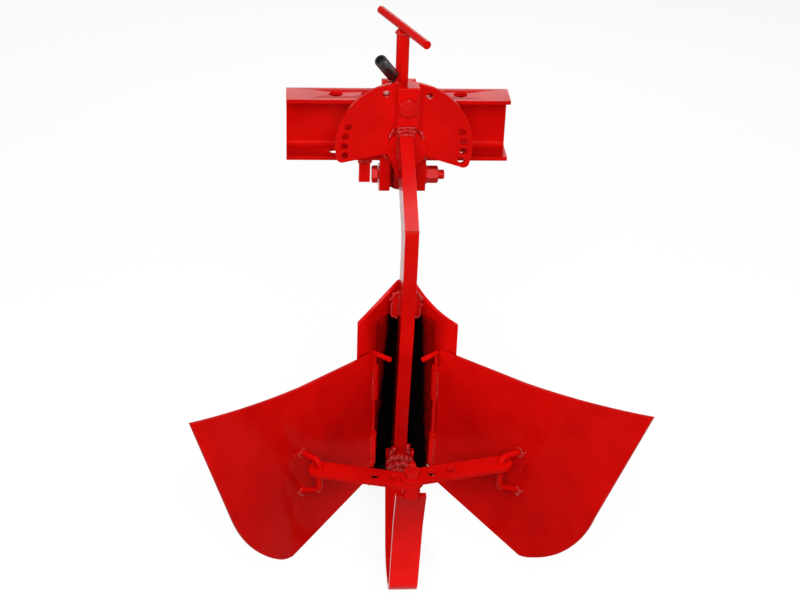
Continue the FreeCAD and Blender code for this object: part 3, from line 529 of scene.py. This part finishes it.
def lathed(profile, steps, shape=None):
    """Turn (height, radius) rings about Z; shape gives each ring's form."""
    work = bmesh.new()
    rings = []
    for height, radius in profile:
        ring = []
        for k in range(steps):
            angle = 2 * math.pi * k / steps
            reach = shape(angle, radius) if shape else radius
            ring.append(work.verts.new((reach * math.cos(angle) * MM,
                                        reach * math.sin(angle) * MM,
                                        height * MM)))
        rings.append(ring)
    for low, high in zip(rings, rings[1:]):
        for k in range(steps):
            j = (k + 1) % steps
            work.faces.new((low[k], low[j], high[j], high[k]))
    work.faces.new(list(reversed(rings[0])))
    work.faces.new(rings[-1])
    mesh = bpy.data.meshes.new("lathed")
    work.to_mesh(mesh)
    work.free()
    return mesh


def aimed(mesh, origin, axis, roll=0.0):
    """Stand a mesh made about Z at a point, along an axis, in mm."""
    axis = Vector(axis).normalized()
    turn = axis.to_track_quat("Z", "Y").to_matrix().to_4x4()
    spin = Matrix.Rotation(math.radians(roll), 4, "Z")
    mesh.transform(Matrix.Translation(at_hub(*origin)) @ turn @ spin)
    return mesh


def merged(name, meshes):
    """Several meshes as one."""
    work = bmesh.new()
    for mesh in meshes:
        work.from_mesh(mesh)
    bmesh.ops.recalc_face_normals(work, faces=work.faces)
    result = bpy.data.meshes.new(name)
    work.to_mesh(result)
    work.free()
    return result


def hex_mesh(flats, depth, chamfer=0.93):
    """A bolt head or nut blank with the round chamfer of its end."""
    levels, steps, sixth = 5, 96, math.pi / 3
    apothem = flats / 2
    land = apothem * chamfer
    top = apothem / math.cos(sixth / 2)
    slope = math.tan(math.radians(30))

    def shape(angle, radius):
        corner = (angle + sixth / 2) % sixth - sixth / 2
        return min(apothem / math.cos(corner), radius)

    profile = [(0.0, land), (0.0, top)]
    for k in range(levels, -1, -1):
        radius = land + (top - land) * k / levels
        profile.append((depth - (radius - land) * slope, radius))
    return lathed(profile, steps, shape)


def stem_mesh(radius, length):
    """The plain stretch of a bolt."""
    return lathed([(0, radius), (length, radius)], 32)


def thread_mesh(radius, length, pitch):
    """A threaded end with a small chamfer."""
    chamfer = 1.0
    profile = [(0.0, radius)]
    height = 0.0
    while height + pitch < length - chamfer:
        profile.append((height + pitch * 0.25, radius))
        profile.append((height + pitch * 0.5, radius - pitch * 0.5))
        profile.append((height + pitch, radius))
        height += pitch
    profile.append((length - chamfer, radius))
    profile.append((length, radius - chamfer))
    return lathed(profile, 32)


def washer_mesh(bore, radius, thick, chamfer=0.6):
    """A flat washer with its outer edges chamfered."""
    return lathed([(0, bore), (0, radius - chamfer), (chamfer, radius),
                   (thick - chamfer, radius), (thick, radius - chamfer),
                   (thick, bore)], 48)


def fastener(node, meshes):
    """A bolt or nut, put together from turned and hexagonal parts."""
    stand_in(node, merged(node + "_mesh", meshes), RED_BOLT, BOLT_SMOOTH)


def pitch_bolt():
    """The bolt through both cheeks and the tongue, with its nut."""
    flats, head_depth, nut_depth, washer_thick = 19, 7.7, 14, 3.5
    head_x, washer_x, thread_x = -28.6, 29.3, 29.5
    pivot = from_hub("yoke_pitch")
    leftward, rightward = (-1, 0, 0), (1, 0, 0)

    def along(x):
        return (x, pivot.y, pivot.z)

    fastener("pitch_bolt", [
        aimed(hex_mesh(flats, head_depth), along(head_x), leftward,
              roll=30),
        aimed(stem_mesh(radius=6.0, length=82), along(head_x), rightward),
        aimed(thread_mesh(radius=5.9, length=25, pitch=1.75),
              along(thread_x), rightward)])
    fastener("pitch_nut", [
        aimed(washer_mesh(bore=6.2, radius=12, thick=washer_thick),
              along(washer_x), rightward),
        aimed(hex_mesh(flats, nut_depth), along(washer_x + washer_thick),
              rightward, roll=30)])


def clamp_bolt():
    """The bolt that clamps the arm block to the sector plate."""
    bolt_x, bolt_z = 1.9, 61.5
    block_face, plate_front = -21.0, 5.9
    rearward = (0, -1, 0)
    fastener("clamp_bolt", [
        aimed(hex_mesh(flats=20.5, depth=8.5, chamfer=0.95),
              (bolt_x, block_face, bolt_z), rearward),
        aimed(stem_mesh(radius=6.0, length=27),
              (bolt_x, plate_front, bolt_z), rearward)])


def centre_nut():
    """The nut on the stud that holds the two straps."""
    seat = (0, -291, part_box("centre_nut")[0][2] / MM - HUB.z)
    fastener("centre_nut", [
        aimed(hex_mesh(flats=17, depth=8), seat, up(1), roll=90),
        aimed(thread_mesh(radius=4.0, length=17, pitch=1.25), seat,
              up(1))])


def screw_end():
    """Black threaded end of the tee screw, below the bridge."""
    screw_x, screw_y, overhang = -4.2, 20.8, 0.6
    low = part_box("tee_screw")[0][2] / MM - HUB.z
    thread = aimed(thread_mesh(radius=8.1, length=60, pitch=2.5),
                   (screw_x, screw_y, low - overhang), up(1))
    new_piece("tee_screw_thread", thread, BLACK, "yoke",
              BOLT_SMOOTH)


def grip():
    """Open-ended black tube on the plunger's lever."""
    foot, length = (-15.4, 9.5, 88.0), 37.0
    yaw, tilt = math.radians(-131.8), math.radians(43.8)
    axis = (math.sin(tilt) * math.cos(yaw),
            math.sin(tilt) * math.sin(yaw), math.cos(tilt))
    tube = lathed([(0.0, 4.2), (0.0, 6.6), (0.8, 7.4),
                   (length - 1.0, 7.4), (length, 6.7), (length, 5.0),
                   (length - 5.0, 4.7), (length - 5.2, 3.6),
                   (length - 4.4, 3.0), (length - 4.4, 0.8)], 48)
    stand_in("lever_grip", aimed(tube, foot, axis), GRIP, GRIP_SMOOTH)


# ------------------------------------------------------ plates and bars

FASTENED = ("pitch_bolt", "pitch_nut", "clamp_bolt", "centre_nut",
            "lever_grip")             # made by their own functions
PLAIN_EDGE = 0.35                     # rounding of an edge, in mm
ROUNDED_EDGE = {"arm_block": 1.6, "sector_plate": 0.7,
                "toolbar_channel": 0.5, "shank": 0.5, "heel_skid": 0.6,
                "strap_left": 0.6, "strap_right": 0.6,
                "screw_bridge": 0.6, "side_lug": 0.6,
                "cheek_left": 0.6, "cheek_right": 0.6,
                "hitch_tongue": 0.6}


def plates_and_bars():
    """The CAD shapes with eased edges and their finishes."""
    for node in sorted(NODES):
        if node not in FASTENED:
            eased(node, ROUNDED_EDGE.get(node, PLAIN_EDGE))


def channel_roots():
    """Rolled root radii in the two inner corners of the channel."""
    wall, radius, steps, end_play = 5.0, 6.0, 8, 0.3
    low, high = [[c / MM for c in corner]
                 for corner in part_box("toolbar_channel")]
    web = high[1] - wall
    strips = bmesh.new()
    for corner_z, turn in ((low[2] + wall, 1), (high[2] - wall, -1)):
        rim = [(web, corner_z)]
        for step in range(steps):
            angle = math.pi / 2 * step / steps
            rim.append((web - radius + radius * math.sin(angle),
                        corner_z + turn * (radius
                                           - radius * math.cos(angle))))
        rim.append((web, corner_z + turn * radius))
        ends = [[strips.verts.new((x * MM, y * MM, z * MM))
                 for y, z in rim]
                for x in (low[0] + end_play, high[0] - end_play)]
        for index in range(len(rim)):
            after = (index + 1) % len(rim)
            strips.faces.new((ends[0][index], ends[0][after],
                              ends[1][after], ends[1][index]))
        for end in ends:
            strips.faces.new(end)
    bmesh.ops.recalc_face_normals(strips, faces=strips.faces)
    mesh = bpy.data.meshes.new("channel_roots_mesh")
    strips.to_mesh(mesh)
    strips.free()
    new_piece("channel_roots", mesh, RED, BODY["toolbar_channel"],
              BAR_SMOOTH)


# ----------------------------------------------------------------- welds

SIDES = {"left": -1, "right": 1}
WING_FLARE = 39.5                     # degrees from straight back


def body_runs():
    """Beads of the ridging body, as (radius, points) from the hub."""
    ring_centre, forward, ring_radius = (3, -1.0, 0), (0, 1, 0), 24.0
    block_to_arm = [
        (2.4, [(-8.5, -23, 34.5), (0, -23.5, 35.5), (8.5, -23, 34.5)]),
        (2.6, [(-8.0, -28, 32), (0, -27.5, 33.5), (8.0, -28, 32)]),
        (2.2, [(-7.5, -33, 29.5), (0, -32.5, 30.5), (7.5, -33, 29.5)]),
        (2.0, [(-8.8, -9.0, 30), (-8.8, -20.5, 31)]),
        (2.0, [(8.8, -9.0, 30), (8.8, -20.5, 31)]),
    ]
    ring_to_sector = [
        (2.2, [(-14.5, -9, 27), (-15.5, -8, 22), (-17.5, -8, 18)]),
        (2.2, [(18.0, -8, 24), (20.0, -7.5, 20), (21.5, -7, 16)]),
        (1.4, ring_run(ring_centre, forward, ring_radius, 208, 46)),
        (1.4, ring_run(ring_centre, forward, ring_radius, -74, 46)),
    ]
    arm_to_ring = [(0.9, [(x, -9, 24), (x, -9, -14)])
                   for x in (-8.6, 8.6)]
    knee = [(1.1, [(-7.6, -164.2, -30.2), (0, -164.6, -30.0),
                   (7.6, -164.2, -30.2)])]
    sector_drips = [
        (1.8, [(-24, 3.0, -12), (-21, 2.8, -15)]),
        (1.8, [(23, 2.8, -13), (26, 3.0, -16)]),
    ]
    shank_to_heel = [
        (4.4, [(-13, -121, -374), (-7, -122, -370), (0, -122, -369),
               (7, -122, -371)]),
        (4.2, [(-12, -122, -382), (-6, -123, -379), (1, -123, -378),
               (8, -122, -381)]),
        (3.6, [(-13, -122, -390), (-6, -123, -388), (2, -123, -388)]),
        (3.0, [(13, -119, -372), (15, -119, -380), (14, -119, -386)]),
        (3.4, [(-13, -120, -365), (-9, -119, -360)]),
        (3.2, [(9.5, -118, -366), (9.5, -117, -357)]),
        (2.6, [(-9.5, -116, -360), (-9.5, -116, -372)]),
        (2.6, [(9.5, -115, -360), (9.5, -115, -374)]),
    ]
    gussets = []
    for side in SIDES.values():
        gussets.append((1.7, [(side * 8.8, -118.5, -139),
                              (side * 8.8, -118.5, -164)]))
        gussets.append((2.3, [(side * 9.5, -119, -134),
                              (side * 14, -118.5, -137),
                              (side * 18, -118, -145)]))
        gussets.append((2.0, [(side * 17.5, -118.5, -150),
                              (side * 16.5, -118.5, -166),
                              (side * 10.5, -119, -168)]))
    return (block_to_arm + ring_to_sector + arm_to_ring + knee
            + sector_drips + shank_to_heel + gussets)


def tee_runs():
    """Beads where the tee bar crosses the head of its screw."""
    return [(1.7, ring_run((-4.2, 20.8, 137.5), up(1), 8.0)),
            (2.0, [(-9, 15, 139), (-6.5, 21, 139.5), (-8, 26, 139)])]


def side_lug_runs():
    """Beads along the rear and the inner edge of the side lug."""
    return [(2.2, [(-52, 39.2, -37), (-38, 39.2, -37)]),
            (2.2, [(-38.0, 41, -37.5), (-38.0, 50, -37.5)])]


def wing_lines(side):
    """A wing's hinge point, and the ways along it and off its rear."""
    flare = math.radians(WING_FLARE)
    hinge = from_hub("left_wing_fold")
    out = Vector((side * math.sin(flare), -math.cos(flare), 0))
    inward = Vector((-side * math.cos(flare), -math.sin(flare), 0))
    return Vector((side * abs(hinge.x), hinge.y, 0)), out, inward


def wing_runs(side, lift, skew):
    """Beads round a staple's feet and along the hinge barrels."""
    staple_reach, staple_stand = 138.0, 27.0
    hinge, out, inward = wing_lines(side)
    reach = staple_reach + staple_stand * math.tan(math.radians(skew))
    runs = []
    for foot_z in (-271.5, -326.0):
        foot = hinge + out * reach + inward * 2.4 + up(foot_z + lift)
        runs.append((1.9, ring_run(foot, inward, 4.6)))
        runs.append((1.6, [foot + out * 5 + up(1.5),
                           foot + out * 9 + up(3.5)]))
    for top, low in ((-228, -266), (-324, -360)):
        seam = hinge + inward * 2.6 + out * 5.6
        runs.append((1.2, [seam + up(top), seam + up(low)]))
    return runs


def wing_patches(side):
    """Stretches of a wing's rear face that caught some spatter."""
    hinge, out, inward = wing_lines(side)
    root = hinge + inward * 2.0
    patches = []
    for near, far, low, high in ((122, 158, -345, -255),
                                 (20, 75, -280, -235)):
        patches.append([root + out * near + up(low),
                        root + out * far + up(low),
                        root + out * far + up(high),
                        root + out * near + up(high)])
    return patches


def welds():
    """Beads and spatter where the pieces are joined."""
    bead = weld_bead_tree()
    beads_of("ridging_body_welds", "ridging_body", body_runs(), bead,
             seed=11)
    beads_of("tee_weld", "yoke", tee_runs(), bead, seed=12)
    beads_of("hitch_welds", "hitch", side_lug_runs(), bead, seed=13)
    beads_of("wing_welds_left", "left_wing",
             wing_runs(SIDES["left"], lift=0.0, skew=0.0), bead, seed=19)
    beads_of("wing_welds_right", "right_wing",
             wing_runs(SIDES["right"], lift=1.5, skew=12.0), bead, seed=21)
    spatter = spatter_tree()
    for (word, side), seed in zip(SIDES.items(), (4, 9)):
        spatter_on("wing_spatter_" + word, word + "_wing",
                   wing_patches(side), spatter, seed, density=6500.0)
    sector_patch = [(-26, -0.1, 20), (34, -0.1, 20), (34, -0.1, 44),
                    (-26, -0.1, 44)]
    spatter_on("hub_spatter", "ridging_body", [sector_patch], spatter,
               seed=7, density=16000.0)


# ---------------------------------------------------------------- studio

def lamp(name, spot, target, size, watts):
    """A soft box of light that the camera doesn't see."""
    data = bpy.data.lights.new(name, "AREA")
    data.shape = "RECTANGLE"
    data.size, data.size_y = size
    data.energy = watts
    light = bpy.data.objects.new(name, data)
    bpy.context.scene.collection.objects.link(light)
    light.location = spot
    aim = Vector(target) - Vector(spot)
    light.rotation_euler = aim.to_track_quat("-Z", "Y").to_euler()
    light.visible_camera = False
    return light


def background(tree, dim, seen):
    """A strength for rays that look at it, and a dim one for light."""
    path = tree.nodes.new("ShaderNodeLightPath")
    link = tree.links.new
    first = tree.nodes.new("ShaderNodeMath")
    first.operation = "MAXIMUM"
    link(path.outputs["Is Camera Ray"], first.inputs[0])
    link(path.outputs["Is Glossy Ray"], first.inputs[1])
    looks = tree.nodes.new("ShaderNodeMath")
    looks.operation = "MAXIMUM"
    link(first.outputs[0], looks.inputs[0])
    link(path.outputs["Is Transmission Ray"], looks.inputs[1])
    span = tree.nodes.new("ShaderNodeMapRange")
    link(looks.outputs[0], span.inputs["Value"])
    span.inputs["To Min"].default_value = dim
    span.inputs["To Max"].default_value = seen
    return span.outputs["Result"]


def backdrop():
    """White surroundings that give little light."""
    world = bpy.data.worlds.new("studio")
    bpy.context.scene.world = world
    world.use_nodes = True
    sky = world.node_tree.nodes["Background"]
    sky.inputs["Color"].default_value = (1, 1, 1, 1)
    strength = background(world.node_tree, dim=0.06, seen=1.0)
    world.node_tree.links.new(strength, sky.inputs["Strength"])


def floor():
    """White floor under the heel and the share, with a soft shadow."""
    ground = CAD_BOX[0][2]
    bpy.ops.mesh.primitive_plane_add(size=14, location=(0, 1.5, ground))
    sheet = bpy.context.object
    sheet.name = "studio_floor"
    paper = bpy.data.materials.new("studio_paper")
    paper.use_nodes = True
    tree = paper.node_tree
    plain = tree.nodes["Principled BSDF"]
    plain.inputs["Base Color"].default_value = (0.16, 0.16, 0.16, 1)
    plain.inputs["Roughness"].default_value = 0.9
    plain.inputs["Specular IOR Level"].default_value = 0.0
    plain.inputs["Emission Color"].default_value = (1, 1, 1, 1)
    tree.links.new(background(tree, dim=0.0, seen=0.88),
                   plain.inputs["Emission Strength"])
    sheet.data.materials.append(paper)


def lights():
    """Soft boxes round the object, and a narrow one for the heel."""
    lamp("back_box", spot=(0.15, 1.85, 0.76), target=(0, 0, 0),
         size=(1.3, 0.6), watts=11)
    lamp("top_box", spot=(0.165, 0.04, 1.9), target=(0, -0.18, 0),
         size=(0.26, 0.36), watts=9)
    lamp("front_box", spot=(-0.15, -2.3, 1.25), target=(0, -0.1, -0.3),
         size=(1.5, 1.2), watts=52)
    heel_box = lamp("heel_box", spot=(0.05, -1.30, -0.492),
                    target=(0.01, -0.28, -0.492), size=(0.12, 0.08),
                    watts=0.055)
    heel_box.data.spread = math.radians(16)
    lamp("left_box", spot=(-2.0, -0.8, 0.30), target=(-0.05, -0.1, -0.3),
         size=(0.7, 0.7), watts=15)
    lamp("right_box", spot=(2.1, -0.8, 0.30), target=(0.05, -0.1, -0.3),
         size=(0.7, 0.7), watts=17)


def viewpoint():
    """The camera behind the object, a little to its left and above."""
    scene = bpy.context.scene
    scene.view_settings.view_transform = "Standard"
    camera_data = bpy.data.cameras.new("camera")
    camera = bpy.data.objects.new("camera", camera_data)
    scene.collection.objects.link(camera)
    camera_data.lens = 71.01
    camera_data.sensor_width = 36.0
    camera_data.clip_start = 0.05
    yaw, pitch, roll = (math.radians(a) for a in (4.51, 29.62, 2.12))
    level_view = Matrix(((1, 0, 0), (0, 0, -1), (0, 1, 0)))
    turn = (Matrix.Rotation(roll, 3, "Z") @ Matrix.Rotation(pitch, 3, "X")
            @ level_view @ Matrix.Rotation(yaw, 3, "Z"))
    right, down, ahead = turn
    axes = Matrix((right, -down, -ahead)).transposed().to_4x4()
    camera.matrix_world = Matrix.Translation(
        at_hub(-135.4, -1740.6, 780.4)) @ axes
    scene.camera = camera


backdrop()
floor()
lights()
viewpoint()
plates_and_bars()
channel_roots()
pitch_bolt()
clamp_bolt()
centre_nut()
screw_end()
grip()
welds()
